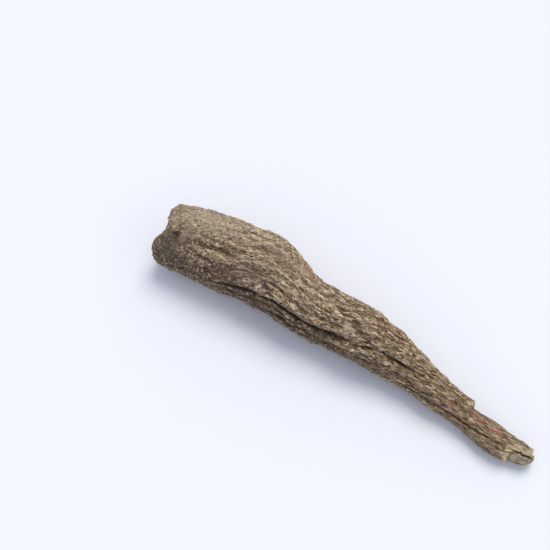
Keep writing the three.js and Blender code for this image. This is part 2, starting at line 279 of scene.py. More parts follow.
def meanRadius(x):  # half the sum of half width and half height
    stations = root["stations"]
    return (along(stations, "halfWidth", x) + along(stations, "halfHeight", x)) / 2


def skinEnd(angle):  # where the skin is broken off, with two sizes of noise for a ragged edge
    a = np.radians(angle)
    end = around(root["skinEnds"], "end", angle)
    for count, size, seed in broken["ragged"]:
        end = end + size * noise(np.cos(a) * count, np.sin(a) * count, midCell, seed)
    return end


def ledgeEdge(x):  # the angle where the ledge of cortex ends over the core, which wanders along it
    stray = broken["stray"]
    strayed = noise(x / stray["long"], midCell, midCell, stray["seed"])
    return broken["ledge"]["angle"] + stray["turn"] * strayed


def coreRadius(x, angle):  # the plain core's radius, a ledge of cortex, a crack at its foot, and fibres
    a = np.radians(angle)
    core, ledge, crack, fibres = root["core"], broken["ledge"], broken["crack"], broken["fibres"]
    spin = core["roughRound"]
    rough = core["rough"] * noise(x / core["roughLong"], np.cos(a) * spin, np.sin(a) * spin, core["seed"])
    dropped = core["drop"] * np.cos(np.radians(turn(core["dropAngle"], angle)))
    plain = core["radius"] + dropped + rough
    past = turn(ledgeEdge(x), angle)
    onLedge = 1 - smooth(past, -ledge["soft"], ledge["soft"])
    plain = plain + ledge["height"] * onLedge * (1 - smooth(x, ledge["to"] - 1, ledge["to"]))
    away = np.radians(past - crack["away"]) * plain / crack["width"]
    plain = plain - crack["depth"] * np.exp(-away * away) * smooth(x, crack["from"], crack["full"])
    spin = fibres["round"]
    strings = noise(x / fibres["long"], np.cos(a) * spin, np.sin(a) * spin, fibres["seed"])
    return plain + fibres["depth"] * (fibres["mean"] - np.abs(strings))


def radius(x, angle):  # w h / |(h cos a, w sin a)| + relief, down to the core where the skin is gone
    a = np.radians(angle)
    w = along(root["stations"], "halfWidth", x)
    h = along(root["stations"], "halfHeight", x)
    plain = (w * h) / np.hypot(h * np.cos(a), w * np.sin(a))
    skin = plain + relief(x, angle, (w + h) / 2)
    end = skinEnd(angle)
    gone = smooth(x, end, end + around(root["skinEnds"], "slope", angle))
    return mix(skin, np.minimum(skin, coreRadius(x, angle)), gone)


def surfacePoint(x, share, angle):  # (x, bow + r cos a, height + r sin a), no lower than the floor
    a = np.radians(angle)
    r = share * radius(x, angle)
    axis = axisPoint(x)
    y = axis[..., 1] + r * np.cos(a)
    return np.stack([x + 0 * y, y, np.maximum(axis[..., 2] + r * np.sin(a), 0)], -1)


def axisPoint(x):  # the middle of the root: its bow, and its half height less its dip
    height = along(root["stations"], "halfHeight", x) - along(root["stations"], "dip", x)
    return np.stack([x, along(root["stations"], "bow", x), height], -1)


# The fine grid: rows from the crown's middle to the tail's tip, columns following the grain

grid = {"columns": 224, "crownRows": 34, "bodyRows": 384, "breakRows": 8, "coreRows": 8, "tailRows": 6}


def makeGrid():  # distance, share of the radius and angle for every row and column
    face, body = root["crownFace"], root["body"]
    middleEnd = float(np.mean(root["skinEnds"]["end"]))
    lean = 360 * np.arange(grid["columns"]) / grid["columns"]

    def ring(places):
        return lean[None, :] + grainAt(np.asarray(places, float))[:, None]

    def level(values):
        return np.asarray(values, float)[:, None]

    t = level(np.arange(1, grid["crownRows"] + 1) / grid["crownRows"] * math.pi / 2)
    angle = ring(np.zeros(grid["crownRows"]))
    share = np.sin(t) ** (2 / root["rimSquareness"])
    inward = 1 - np.maximum(np.cos(t), 0) ** (2 / root["rimSquareness"])
    sunk = face["hollow"] * (1 - smooth(share, face["floorShare"], face["rimShare"]))
    rim = smooth(share, 0, face["rimShare"])
    start = around(root["crownEnds"], "start", angle)
    rounding = around(root["crownEnds"], "round", angle)
    parts = [(rim * start + inward * rounding + sunk, share + 0 * angle, angle)]

    plain = np.linspace(body["start"], middleEnd, grid["bodyRows"] + 1)[1:]
    angle = ring(plain)
    nearRim = 1 - smooth(level(plain), body["start"], body["crownRowsTo"])
    nearBreak = smooth(level(plain), body["breakRowsFrom"], middleEnd)
    start = around(root["crownEnds"], "start", angle) + around(root["crownEnds"], "round", angle)
    shift = nearRim * (start - body["start"]) + nearBreak * (skinEnd(angle) - middleEnd)
    parts.append((level(plain) + shift, 1 + 0 * angle, angle))

    angle = ring(np.full(1, middleEnd))
    coreStart = skinEnd(angle) + around(root["skinEnds"], "slope", angle)
    coreEnd = np.maximum(root["tailTip"] - root["tailRound"], coreStart + root["leastCore"])
    t = level(np.arange(1, grid["breakRows"] + 1) / grid["breakRows"])
    parts.append((mix(skinEnd(angle), coreStart, t), 1 + 0 * t * angle, angle + 0 * t))
    t = level(np.arange(1, grid["coreRows"] + 1) / grid["coreRows"])
    parts.append((mix(coreStart, coreEnd, t), 1 + 0 * t * angle, angle + 0 * t))
    t = level(np.arange(1, grid["tailRows"] + 1) / (grid["tailRows"] + 1) * math.pi / 2)
    parts.append((mix(coreEnd, root["tailTip"], np.sin(t)), np.cos(t) + 0 * angle, angle + 0 * t))
    return [np.concatenate(kind) for kind in zip(*parts)]


# The bark's wrinkles, raised on the folds

bark = {
    "x": [0, 10, 22, 38, 60, 80, 95, 120],  # distance along the root
    "long": [1.2, 1.3, 1.9, 2.3, 2.4, 3.0, 4.2, 4.6],  # length of a mesh of the net there
    "wide": [0.9, 0.9, 0.95, 1.05, 1.0, 0.85, 0.75, 0.7],  # its width
    "height": [0.62, 0.66, 0.7, 0.76, 0.76, 0.6, 0.5, 0.42],  # how far its strands stand out
    "wander": 0.5,  # how far the strands stray across the grain, in meshes
    "slide": 0.3,  # and along it
    "strand": 0.21,  # how wide a strand is, in meshes
    "smallStrand": 0.315,  # and one of the small meshes, in small meshes
    "netMean": 0.45,  # the net's mean height, which sits on the folds
    "calmed": 0.65,  # the share of the net's height that is lost in a furrow
    "curled": (12, 30),  # where the crown's curly skin gives way to long streaks
}

net = {  # its patterns: how many to a mesh along and across the grain, and seed
    "swayOne": (0.8, 0.5, 41),
    "swayTwo": (0.8, 0.5, 43),
    "slide": (0.7, 0.6, 47),
    "large": (1.0, 1.0, 51),
    "small": (1.5, 1.8, 53),
    "ridges": (0.9, 1.0, 57),
    "plaits": (0.4, 0.42, 58),
    "fading": (0.35, 0.3, 59),
}
netShares = {"large": 0.45, "ridges": 0.5, "small": 0.25, "plaits": -0.5}  # of the net's height

details = {  # what else is raised on the folds or cut into them
    "rings": {"long": 0.85, "lean": 0.4, "round": 0.28, "height": 0.16, "mean": 0.4, "gone": (7, 20),
              "seed": 71},  # fine wrinkles round the crown
    "creases": {"count": 34, "depth": (0.12, 0.4), "width": 0.3, "length": (5, 22), "stray": 9,
                "strayEvery": 6, "apart": 3.7, "darker": 1.6, "seed": 5},
    "furrowCut": {"depth": 0.35, "width": 0.35, "calm": 1.0, "widest": 1.0, "fullDepth": 1.9,
                  "every": 5, "apart": 2.3, "mean": 0.8, "swing": 1.5, "seed": 91},  # a sharp bottom
    "bridges": [  # place, half length and share
        (35, 2.0, 0.3), (49, 1.5, 0.4), (63, 4.0, 0.75), (88, 2.5, 0.7)],
    "faceRings": {"count": 4.3, "height": 0.6, "stray": 0.8, "every": 2.2, "patchEvery": 3, "mean": 0.6,
                  "swing": 1.4, "seed": 83},  # leaf scars on the crown's end
}
ridgeSharpness = 3.2  # how fast a ridge falls off from its middle


def netPlace(x, angle, share):  # meshes along, and across as a point on a circle of the root's size
    steps = np.linspace(-5, 125, 1301)
    count = np.cumsum(1 / along(bark, "long", steps)) * (steps[1] - steps[0])
    u = np.interp(x, steps, count)
    bend = np.radians(angle - grainAt(x))
    r = share * meanRadius(x) / along(bark, "wide", x)
    return u, np.cos(bend) * r, np.sin(bend) * r


def netNoise(name, u, v, w):  # one pattern of the net, at its own scale
    long, wide, seed = net[name]
    return noise(u * long, v * wide, w * wide, seed)


def netStrands(name, u, v, w, width, shift=0):  # share x exp(-(second - first) / width) of its cells
    long, wide, seed = net[name]
    first, second = cells(u * long + shift, v * wide, w * wide, seed)
    return netShares[name] * np.exp(-(second - first) / width)


def ridge(field):  # max(1 - sharpness |field|, 0), which winds along the zero of a noise
    return np.clip(1 - ridgeSharpness * np.abs(field), 0, 1)


def barkNet(u, v, w, inBody):  # (strands + ridges) fading by places, small strands, and long plaits
    sway = [bark["wander"] * netNoise(name, u, v, w) for name in ("swayOne", "swayTwo")]
    v, w = v + sway[0], w + sway[1]
    u = u + bark["slide"] * netNoise("slide", u, v, w)
    large = netStrands("large", u, v, w, bark["strand"])
    small = netStrands("small", u, v, w, bark["smallStrand"], 5)
    ridges = netShares["ridges"] * ridge(netNoise("ridges", u, v, w))
    plaits = np.clip(1.4 - 4 * np.abs(netNoise("plaits", u, v, w)), 0, 1) - 0.6
    fading = np.clip(0.75 + 1.3 * netNoise("fading", u, v, w), 0.25, 1.3)
    return fading * (large + ridges) + small + netShares["plaits"] * inBody * plaits


def creases(x, angle, r):  # the deepest of many thin cracks exp(-away / width), which stray as they run
    made = details["creases"]
    draw = np.random.default_rng(made["seed"])
    grainAngle = grainAt(x)
    deepest = np.zeros(x.shape)
    for n in range(made["count"]):
        offset, middle = draw.uniform(0, 360), draw.uniform(2, 116)
        half = draw.uniform(*made["length"]) / 2
        depth = draw.uniform(*made["depth"])
        opening = np.clip(1 - ((x - middle) / half) ** 2, 0, 1)
        strayed = noise(x / made["strayEvery"], n * made["apart"], midCell, made["seed"])
        path = grainAngle + offset + made["stray"] * strayed
        away = np.abs(np.radians(turn(path, angle)) * r)
        deepest = np.maximum(deepest, depth * opening * np.exp(-away / made["width"]))
    return deepest


def inFurrows(x, angle, r):  # the sharp bottoms of the furrows, and how near their middles the skin is
    made = details["furrowCut"]
    grainAngle = grainAt(x)
    sharp = np.zeros(x.shape)
    near = np.zeros(x.shape)
    for n, (offset, start, end, depth, width) in enumerate(root["furrows"]):
        patchy = noise(x / made["every"], n * made["apart"], midCell, made["seed"])
        patchy = made["mean"] + made["swing"] * patchy
        narrow = min(made["widest"] / width, 1) ** 3
        share = np.sqrt(furrowOpening(x, start, end)) * np.clip(patchy, 0.1, 1.2)
        share = share * min(depth / made["fullDepth"], 1) * narrow
        away = np.abs(np.radians(turn(grainAngle + offset, angle)) * r)
        sharp = np.maximum(sharp, share * np.exp(-((away / made["width"]) ** 2)))
        near = np.maximum(near, share * np.exp(-((away / made["calm"]) ** 2)))
    return sharp, near


def bridges(x):  # where the long furrow is shut, a bell over each place, and to what share
    return sum(share * np.exp(-(((x - at) / half) ** 2)) for at, half, share in details["bridges"])


def longFurrow(x, angle, r):  # depth exp(-away / width), as the solid has it
    offset, start, end, depth, width = root["furrows"][0]
    away = np.abs(np.radians(turn(grainAt(x) + offset, angle)) * r)
    small = np.clip(r / root["fullRadius"], root["leastShrink"], 1)
    return depth * small * np.sqrt(furrowOpening(x, start, end)) * np.exp(-away / width)


def faceRings(share, angle):  # cos of turns of share, strayed by noise: broken rings on the crown's end
    made = details["faceRings"]
    a = np.radians(angle)
    y, z = share * np.cos(a), share * np.sin(a)
    every, patchEvery = made["every"], made["patchEvery"]
    strayed = share + made["stray"] * noise(y * every, z * every, midCell, made["seed"]) / made["count"]
    rings = np.cos(2 * math.pi * made["count"] * strayed)
    patchy = made["mean"] + made["swing"] * noise(y * patchEvery, z * patchEvery, midCell + 4, made["seed"])
    return rings * np.clip(patchy, 0, 1)


def wrinkles(x, share, angle):  # height of everything raised on the folds, and the painted shade in its cracks and furrow bottoms
    u, v, w = netPlace(x, angle, share)
    r = meanRadius(x)
    sharp, near = inFurrows(x, angle, r)
    cracked = creases(x, angle, r)
    strands = barkNet(u, v, w, smooth(x, *bark["curled"])) - bark["netMean"]
    bridged = bridges(x)
    height = along(bark, "height", x) * strands * (1 - bark["calmed"] * near * (1 - bridged))
    sharp = sharp * (1 - bridged)
    height += longFurrow(x, angle, r) * bridged
    rings = details["rings"]
    turns = rings["round"]
    ringed = ridge(noise(x / rings["long"] + rings["lean"] * v, v * turns, w * turns, rings["seed"]))
    height += rings["height"] * (ringed - rings["mean"]) * (1 - smooth(x, *rings["gone"]))
    height -= cracked + details["furrowCut"]["depth"] * sharp
    # painted shade: the colour darkens in the furrows' sharp bottoms and in the cracks
    creaseShade = np.clip(np.maximum(sharp, cracked * details["creases"]["darker"]), 0, 1)
    return height, creaseShade


def blur(field, rows, columns):  # mean over a window, round the columns and clamped at the end rows
    out = np.zeros_like(field)
    for step in range(-columns, columns + 1):
        out += np.roll(field, step, axis=1)
    out /= 2 * columns + 1
    padded = np.concatenate([np.repeat(out[:1], rows, 0), out, np.repeat(out[-1:], rows, 0)])
    total = np.cumsum(np.concatenate([np.zeros_like(out[:1]), padded]), axis=0)
    window = 2 * rows + 1
    return (total[window:] - total[:-window]) / window


def gridNormals(points):  # cross product of the steps round and along the grid, outwards
    step = np.roll(points, -1, axis=1) - np.roll(points, 1, axis=1)
    rise = np.gradient(points, axis=0)
    return unit(np.cross(step, rise))


def closedTube(rows, columns):  # faces of a grid of rings, with a fan to a point at each end
    ring, column = np.meshgrid(np.arange(rows - 1), np.arange(columns), indexing="ij")
    a = ring * columns + column
    b = ring * columns + (column + 1) % columns
    quads = np.stack([a, b, b + columns, a + columns], -1).reshape(-1, 4)
    here = np.arange(columns)
    after = (here + 1) % columns
    last = (rows - 1) * columns
    start = np.stack([np.full(columns, rows * columns), after, here], -1)
    end = np.stack([np.full(columns, rows * columns + 1), last + here, last + after], -1)
    return quads, np.concatenate([start, end])


def makeObject(name, points, faces):  # a smooth-shaded mesh object at the origin, in metres
    mesh = bpy.data.meshes.new(name)
    mesh.from_pydata((points * metre).tolist(), [], [f for group in faces for f in group.tolist()])
    mesh.polygons.foreach_set("use_smooth", np.ones(len(mesh.polygons), bool))
    mesh.update()
    made = bpy.data.objects.new(name, mesh)
    bpy.context.scene.collection.objects.link(made)
    return made


def addAttribute(made, name, values):  # one number, or three, on every vertex
    kind, socket = ("FLOAT", "value") if values.ndim == 1 else ("FLOAT_VECTOR", "vector")
    attribute = made.data.attributes.new(name, kind, "POINT")
    attribute.data.foreach_set(socket, values.astype(np.float32).ravel())


def placeOffset():  # from the root's own axes to the CAD frame: the tail's tip is on both
    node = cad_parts["burdock_root"]
    co = np.zeros(len(node.data.vertices) * 3, np.float32)
    node.data.vertices.foreach_get("co", co)
    co = co.reshape(-1, 3)
    tip = co[np.argmax(co[:, 0])] / metre
    shift = tip - surfacePoint(np.array(float(root["tailTip"])), 0, np.array(0.0))
    return np.array([shift[0], shift[1], 0])


# Patches of colour on the bark: distance, angle, half length, half width and strength. Rubbed places have
# lost their cork and plum lies in the pits. The dark grey-brown patches on the near, lower side, away from
# the light, are painted shade; the two large pale patches on the top are painted light, the small ones pale
# spots.

tints = {
    "rubbed": [(43, 45, 2.6, 1.3, 0.8), (107.8, 76, 1.5, 0.9, 1.2), (101.5, 78, 2.4, 1.0, 0.8),
               (16, 60, 2.2, 0.8, 0.5), (68, 60, 3.0, 0.6, 0.5), (93.5, 98, 1.6, 0.8, 0.6),
               (95, 142, 4.0, 0.5, 0.8), (86, 128, 2.5, 0.5, 0.5)],
    "olive": [(19.5, 124, 2.6, 1.2, 0.8), (3.2, 115, 1.8, 1.6, 0.6), (40, 60, 3.0, 1.6, 0.5)],
    "plum": [(7.6, 117, 2.6, 2.6, 0.9), (31, 128, 5, 3.0, 0.6), (63, 96, 3.2, 1.4, 0.6),
             (6, 150, 4, 4, 0.5)],
    # the first two are painted light on the lit top, the rest pale spots of the bark's own
    "pale": [(12, 60, 14, 7, 0.75), (40, 75, 16, 6, 0.3), (60.7, 113, 1.5, 1.2, 0.8),
             (8.2, 119, 0.8, 0.8, 1.0), (108.2, 98, 1.6, 0.5, 1.0)],
    # painted shade on the near, lower side, which faces away from the light
    "soil": [(7, 165, 9, 8, 0.6), (31, 183, 17, 5, 0.8), (5, 125, 2.5, 2.5, 0.5), (60, 195, 30, 6, 0.5),
             (24, 140, 6, 4, 0.35), (50, 160, 18, 3.0, 0.5)],
}


skinEdge = {  # where one finish gives way to the next
    "bark": (-0.1, 0.35),  # past the skin's end
    "core": (0.6, 0.9),  # past it, in shares of the broken skin's slope
    "foot": (0.95, 0.3, 0.6),  # painted shade line at the core's foot: place in that share, half width, darkness
    "ledgeSoft": 3,  # degrees
    "calmCore": 0.12,  # the share of the wrinkles that the core shows
    "calmEdge": (0.6, 1.5),  # the share that the skin loses at its end, and from how far before
    "crownFace": (0.78, 0.95),  # in shares of the radius
    "crownBefore": 60,  # no crown past here
}
# Both give painted light and shade: the colour is lighter where the skin stands above its mean, partly worn
# cork and partly painted highlight, and darker where it lies below, painted shade
shading = {  # rows and columns of the mean that the surface is compared with, and what counts in full
    "relief": ((4, 4), 0.26),
    "hollow": ((9, 11), -1.0),
}


def makeSkin(offset):  # surface + outward direction (wrinkles + rings), and what the material needs to know
    x, share, angle = makeGrid()
    base = surfacePoint(x, share, angle)
    height, creaseShade = wrinkles(x, share, angle)
    ends = skinEnd(angle)
    slope = around(root["skinEnds"], "slope", angle)
    onSkin = 1 - smooth(x - ends, *skinEdge["bark"])
    past = turn(ledgeEdge(x), angle)
    onLedge = 1 - smooth(past, -skinEdge["ledgeSoft"], skinEdge["ledgeSoft"])
    onCore = smooth((x - ends) / slope, *skinEdge["core"]) * (1 - onLedge)
    # the crack along the core and the line at its foot are darkened in the colour: painted shade
    crack = broken["crack"]
    gap = np.radians(past - crack["away"]) * root["core"]["radius"] / crack["width"]
    gap = np.exp(-gap * gap) * smooth(x, crack["from"], crack["full"])
    at, width, footDark = skinEdge["foot"]
    away = (x - ends - at * slope) / width
    gap = np.maximum(gap, footDark * np.exp(-away * away) * (1 - onLedge)) * (1 - onSkin)
    onFace = np.where(x < skinEdge["crownBefore"], 1 - smooth(share, *skinEdge["crownFace"]), 0)
    rings = onFace * faceRings(share, angle)
    lost, runIn = skinEdge["calmEdge"]
    calm = mix(skinEdge["calmCore"], 1, onSkin) * (1 - lost * smooth(x - ends, -runIn, 0))
    raised = height * calm + details["faceRings"]["height"] * rings
    raised = base + gridNormals(base) * raised[..., None]
    raised[..., 2] = np.maximum(raised[..., 2], 0)
    rows, columns = x.shape
    poles = [surfacePoint(np.array(float(middle)), 0, 0.0)
             for middle in (root["crownFace"]["hollow"], root["tailTip"])]
    points = np.concatenate([raised.reshape(-1, 3), np.array(poles)]) + offset
    made = makeObject("burdock_root_skin", points, closedTube(rows, columns))

    out = np.linalg.norm(raised - axisPoint(x), axis=-1)
    core = broken["coreRings"]
    stands = {name: (out - blur(out, *window)) / full for name, (window, full) in shading.items()}
    fields = {
        # lighter on the crests, partly worn cork and partly painted highlight, and darker in the low places,
        # painted shade
        "relief": np.clip(stands["relief"], -1, 1),
        # painted shade: how far the skin lies below its mean, which darkens the colour in the hollows
        "hollow": np.clip(stands["hollow"], 0, 1),
        # painted shade in the cracks, the furrow bottoms and the core's crack
        "creaseShade": np.maximum(creaseShade * onSkin, gap),
        "core_ring": np.hypot(x - core["x"], np.radians(turn(core["angle"], angle)) * core["radius"]),
        "skin": onSkin,
        "core": onCore,
        "crown_face": onFace,
        "face_ring": rings,
        "crown": 1 - smooth(x, *bark["curled"]),
    }
    for name, patches in tints.items():
        fields["tint_" + name] = np.clip(sum(
            strength * markShape(x, angle, meanRadius(x), *place) for *place, strength in patches), 0, 1)
    for name, field in fields.items():
        addAttribute(made, name, np.concatenate([field.ravel(), [field[0].mean(), field[-1].mean()]]))
    place = np.stack(netPlace(x, angle, share), -1)
    place = np.concatenate([place.reshape(-1, 3), [place[0].mean(0), place[-1].mean(0)]])
    addAttribute(made, "net_place", place)
    return made


print("root: shape")
skin = makeSkin(placeOffset())
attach(skin, "root")
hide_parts("burdock_root")
print("root:", len(skin.data.vertices), "vertices", len(skin.data.polygons), "faces")


# Fibres: hairs that have peeled up, torn ends where the skin broke off, and stubs of thin rootlets

fibres = {
    "sides": 5,
    "steps": 12,
    "seed": 97,
    "stray": 7,  # how far a fibre winds, in degrees
    "strayEvery": 2,
    "apart": 7.3,
    "stands": 0.05,
    "ends": 0.08,  # its thickness follows a sine from this share of half a turn
    "taper": 0.5,
    "inside": 0.2,  # before the skin's end
    "age": {"Scale": 260, "Detail": 3.0},  # its colour changes every 4 mm
    "kinds": [  # count, start, angle round the root, length, thickness, and how far the tip lifts
        {"count": 210, "start": (3, 109), "round": (0, 360), "long": (1.2, 4.6), "thick": (0.04, 0.085),
         "rise": (0.0, 0.25)},
        {"count": 40, "beforeBreak": (0.3, 1.2), "round": (0, 360), "long": (0.8, 2.0), "thick": (0.06, 0.14),
         "rise": (-0.2, 0.3)},
        {"count": 7, "start": (24, 100), "round": (130, 330), "long": (0.7, 1.5), "thick": (0.18, 0.32),
         "rise": (0.8, 1.6)},
    ],
}


def onBark(x, angle):  # the skin, and its outward direction by small steps round and along
    step = 0.05
    here = surfacePoint(x, 1, angle)
    sideways, forward = surfacePoint(x, 1, angle + step) - here, surfacePoint(x + step, 1, angle) - here
    out = unit(np.cross(sideways, forward))
    return here + out * wrinkles(x, 1, angle)[0][..., None], out


def makeFibres(offset):  # middle + size (side cos t + out sin t), for every fibre of a kind at once
    draw = np.random.default_rng(fibres["seed"])
    t = np.linspace(0, 1, fibres["steps"])
    rings, sides = fibres["steps"], fibres["sides"]
    turns = 2 * math.pi * np.arange(sides) / sides
    points, faces, made = [], [[], []], 0
    for kind in fibres["kinds"]:
        count = kind["count"]
        length, thick, rise = (draw.uniform(*kind[key], count)[:, None] for key in ("long", "thick", "rise"))
        place = draw.uniform(*kind["round"], count)[:, None]
        if "start" in kind:
            start = draw.uniform(*kind["start"], count)[:, None]
        else:
            start = skinEnd(place) - draw.uniform(*kind["beforeBreak"], count)[:, None]
        x = start + length * t
        number = np.arange(count)[:, None]
        wander = noise(x / fibres["strayEvery"], fibres["apart"] * number, midCell, fibres["seed"])
        angle = grainAt(x) - grainAt(start) + place
        angle = angle + fibres["stray"] * wander
        onSkin = np.minimum(x, skinEnd(place) - fibres["inside"])
        middle, out = onBark(onSkin, angle)
        middle = middle + out * (fibres["stands"] + rise * t**2)[..., None]
        middle[..., 0] += x - onSkin
        side = unit(np.cross(np.gradient(middle, axis=1), out))
        full = np.sqrt(np.sin(math.pi * mix(fibres["ends"], 1 - fibres["ends"], t)))
        size = (thick * full * (1 - fibres["taper"] * t))[..., None, None]
        ring = middle[:, :, None] + size * (np.cos(turns)[:, None] * side[:, :, None]
                                            + np.sin(turns)[:, None] * out[:, :, None])
        ends = np.stack([middle[:, 0], middle[:, -1]], 1)
        tubes = np.concatenate([ring.reshape(count, -1, 3), ends], 1)
        points.append(tubes.reshape(-1, 3))
        shift = (made + np.arange(count) * tubes.shape[1])[:, None, None]
        for kept, group in zip(faces, closedTube(rings, sides)):
            kept.append((group + shift).reshape(-1, group.shape[1]))
        made += count * tubes.shape[1]
    points = np.concatenate(points)
    points[:, 2] = np.maximum(points[:, 2], 0)
    return makeObject("root_fibres", points + offset, [np.concatenate(group) for group in faces])


print("root: fibres")
hairs = makeFibres(placeOffset())
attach(hairs, "root")
print("fibres:", len(hairs.data.vertices), "vertices", len(hairs.data.polygons), "faces")


# Materials

def linear(hexColour):  # sRGB hex to linear: ((c + 0.055) / 1.055)^2.4 above 0.04045
    parts = [int(hexColour[i:i + 2], 16) / 255 for i in (1, 3, 5)]
    return [c / 12.92 if c <= 0.04045 else ((c + 0.055) / 1.055) ** 2.4 for c in parts] + [1]


def newMaterial(name):  # an empty material, and its tree
    material = bpy.data.materials.new(name)
    material.use_nodes = True
    material.node_tree.nodes.clear()
    return material, material.node_tree


def addNode(tree, kind, output, inputs=None, stops=(), **settings):  # one node, with values or links
    node = tree.nodes.new("ShaderNode" + kind)
    for name, value in settings.items():
        setattr(node, name, value)
    for socket, value in (inputs or {}).items():
        if isinstance(value, bpy.types.NodeSocket):
            tree.links.new(value, node.inputs[socket])
        else:
            node.inputs[socket].default_value = value
    if stops:
        ramp = node.color_ramp.elements
        ramp.remove(ramp[1])
        ramp[0].position, ramp[0].color = stops[0]
        for position, colour in stops[1:]:
            ramp.new(position).color = colour
    return node if output is None else node.outputs[output]


barkColours = {  # dry bark is a grey brown, redder where it is rubbed and straw where it is torn
    # near-black brown for painted shade in the cracks and furrow bottoms
    "creaseShadeBrown": "#2c2019",
    "valley": "#443120",
    "flank": "#7a6247",
    "strand": "#a48b6b",
    "crest": "#dfcdad",
    "rubbed": "#b87362",
    "olive": "#857b50",
    "plum": "#80706c",
    # pale spots, and painted light on the lit top
    "pale": "#c2b097",
    # dark grey-brown: the crown's leaf scars, and painted shade on the near, lower side
    "soil": "#57493e",
    "pink": "#a5826f",
    "straw": "#dbc79c",
    "coreWood": "#a99d84",
}
barkColours = {name: linear(value) for name, value in barkColours.items()}
barkStops = [(position, barkColours[name]) for position, name in (
    (0.0, "valley"), (0.3, "flank"), (0.62, "strand"), (1.0, "crest"))]  # the colour at each level
# A line of bark: grey at each value of its noise, dark just below the middle and pale just above
# the same value bumps the skin, so the dark band is painted shade in the groove beside each pale strand
lineStops = [(position, (grey, grey, grey, 1)) for position, grey in (
    (0.38, 0.5), (0.45, 0.0), (0.49, 0.42), (0.53, 1.0), (0.6, 0.5))]

# These run on net_place, in meshes of the net: half way down the root one is 2.4 mm long and 1 mm wide.
# A pixel of the render is 0.27 mm, and what is finer in nature is drawn as coarse as it needs to show.
grainPatterns = {  # stretch along and across the grain, then the noise
    # strands of cork 0.64 mm apart and 3.6 mm long: 1 / (1.15 x 1.35) and 2.4 / (0.5 x 1.35)
    "streaks": ((0.5, 1.15, 1.15), {"Scale": 1.35, "Detail": 2.0, "Roughness": 0.5}),
    # single fibres, 0.1 mm thick in nature, are drawn 0.45 mm apart to show
    "hairs": ((0.55, 1.3, 1.3), {"Scale": 1.7, "Detail": 0.5, "Roughness": 0.6}),
    # the crown's curly skin, 0.8 mm, where a mesh is 1.3 x 0.9 mm
    "curls": ((1.3, 0.8, 0.8), {"Scale": 1.25, "Detail": 1.0, "Roughness": 0.6}),
    # places 1.4 x 3.4 mm where the strands show more or less
    "patches": ((1, 1, 1), {"Scale": 0.7, "Detail": 3.0}),
    # grains of cork and dust, under 0.1 mm in nature, are drawn 0.3 x 1 mm to show
    "grit": ((1, 1.5, 1.5), {"Scale": 2.3, "Detail": 0.0}),
    # the bare wood's fibres at the tail, 0.5 mm apart, where a mesh is 4.6 x 0.7 mm
    "wood": ((0.6, 1, 1), {"Scale": 1.3, "Detail": 3.0, "Roughness": 0.7}),
}
grainStray = {"Scale": 1.1, "Detail": 2.0}  # how all of them wind about the grain
grainReach = (0.9, 0.9, 0.9)
netEyes = (0.55, 0.95, 0.95)  # shallow eyes in the net, 1 mm apart across the grain and 4 mm along it, darker in their middles: painted shade in these pits

placePatterns = {  # these run on the object, so 1000 / Scale is their size in mm
    "weather": {"Scale": 110, "Detail": 2.0},
    "pink": {"Scale": 520, "Detail": 3.0},
    "olive": {"Scale": 430, "Detail": 3.0},
    "plum": {"Scale": 150, "Detail": 3.0},
    "scars": {"Scale": 800, "Detail": 4.0, "Roughness": 0.7},
    "uneven": {"Scale": 1400, "Detail": 3.0},
    "woodStain": {"Scale": 900, "Detail": 3.0},
}
spreads = {  # which part of a pattern counts, and what it is turned into
    "patches": (0.38, 0.6, 0.35, 1.1),
    "pink": (0.52, 0.68, 0, 0.35),
    "olive": (0.5, 0.66, 0, 0.35),
    "plum": (0.53, 0.68, 0, 0.25),
    "scars": (0.42, 0.62, 0, 1),
    "uneven": (0.38, 0.58, 0.12, 0.95),
    "woodStain": (0.5, 0.7, 0, 0.6),
    "wood": (0.38, 0.62, 0.5, 1.5),
    "core_ring": (1.5, 1.1, 0, 0.25),
    "eyes": (0.3, 0.16, 0.5, 1.5),
}
barkLevel = {  # how light the bark is, 0 to 1: a base, and an amount of each field and each line
    "base": 0.27,
    # relief: worn cork, painted highlight and painted shade; the pale and dark grey-brown tints hold painted
    # light and shade too
    "fields": [("relief", 0.33), ("tint_pale", 0.2), ("tint_soil", -0.25), ("face_ring", 0.5),
               ("weather", 0.35)],
    "lines": [("streaks", 0.7, "patches"), ("hairs", 0.95, None), ("curls", 1.8, "crown"),
              ("grit", 1.6, None), ("eyes", -0.5, "patches")],
}
# the crack and hollow shares darken the colour as painted shade
barkShares = {"scars": 0.35, "hollow": 0.4, "creaseShade": 0.85, "hairBump": 0.6}
bumpDepth = 0.14  # of the finest wrinkles
ringTurns = 9.0  # radians a millimetre, so the core's growth rings are 0.7 mm apart


